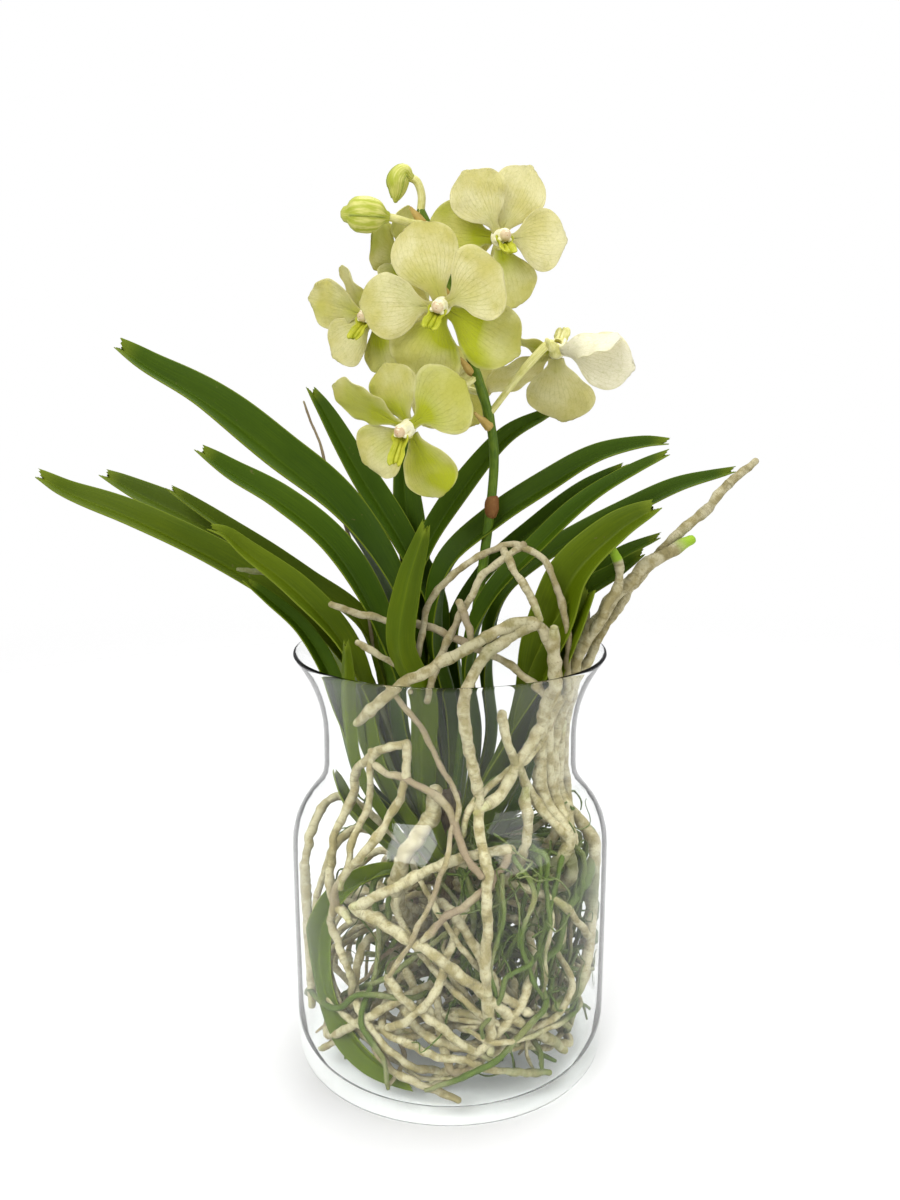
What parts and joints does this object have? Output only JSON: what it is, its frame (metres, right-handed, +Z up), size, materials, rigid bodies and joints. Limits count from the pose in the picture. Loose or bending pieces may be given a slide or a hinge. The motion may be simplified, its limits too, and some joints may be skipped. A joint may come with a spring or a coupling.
{
  "type": "vanda orchid in glass",
  "caption": "Vanda orchid with strap leaves, a flower spike of cream blooms and buds, and bare aerial roots, standing in a clear shouldered glass vase.",
  "frame": {"origin": "middle of the flat underside of the glass vase", "axes": "+Z up along the vase, -Y towards the side that most blooms face, +X to the right of it"},
  "size_m": [0.4139, 0.19, 0.5196],
  "materials": {
    "vase_glass": "gloss",
    "root_silver": "matte",
    "spike_green": "satin",
    "leaf_dark": "satin",
    "leaf_young": "satin",
    "petal_cream": "matte",
    "lip_yellow": "satin",
    "bud_green": "satin"
  },
  "bodies": {
    "root": {"glass_vase": "vase_glass", "stem_and_roots": "root_silver", "flower_spike": "spike_green", "leaf_left_outer": "leaf_dark", "leaf_left_front": "leaf_young", "leaf_left_long": "leaf_young", "leaf_left_back": "leaf_young", "leaf_left_middle": "leaf_dark", "leaf_left_upper": "leaf_dark", "leaf_left_steep": "leaf_dark", "leaf_back_steep": "leaf_dark", "leaf_front_upright": "leaf_young", "leaf_front_small": "leaf_young", "leaf_left_inner_short": "leaf_young", "leaf_hanging": "leaf_young", "leaf_right_steep": "leaf_dark", "leaf_right_upper": "leaf_dark", "leaf_right_narrow": "leaf_dark", "leaf_right_middle": "leaf_dark", "leaf_right_long": "leaf_dark", "leaf_right_front": "leaf_young", "leaf_right_low": "leaf_dark", "leaf_right_outer": "leaf_dark", "leaf_right_short": "leaf_young", "leaf_left_olive": "leaf_young", "bloom_front_petals": "petal_cream", "bloom_front_lip": "lip_yellow", "bloom_upper_right_petals": "petal_cream", "bloom_upper_right_lip": "lip_yellow", "bloom_left_petals": "petal_cream", "bloom_left_lip": "lip_yellow", "bloom_lower_petals": "petal_cream", "bloom_lower_lip": "lip_yellow", "bloom_right_petals": "petal_cream", "bloom_right_lip": "lip_yellow", "bloom_back_petals": "petal_cream", "bloom_back_lip": "lip_yellow", "bloom_back_left_petals": "petal_cream", "bloom_back_left_lip": "lip_yellow", "bud_tip": "bud_green", "bud_side": "bud_green"}
  },
  "joints": []
}
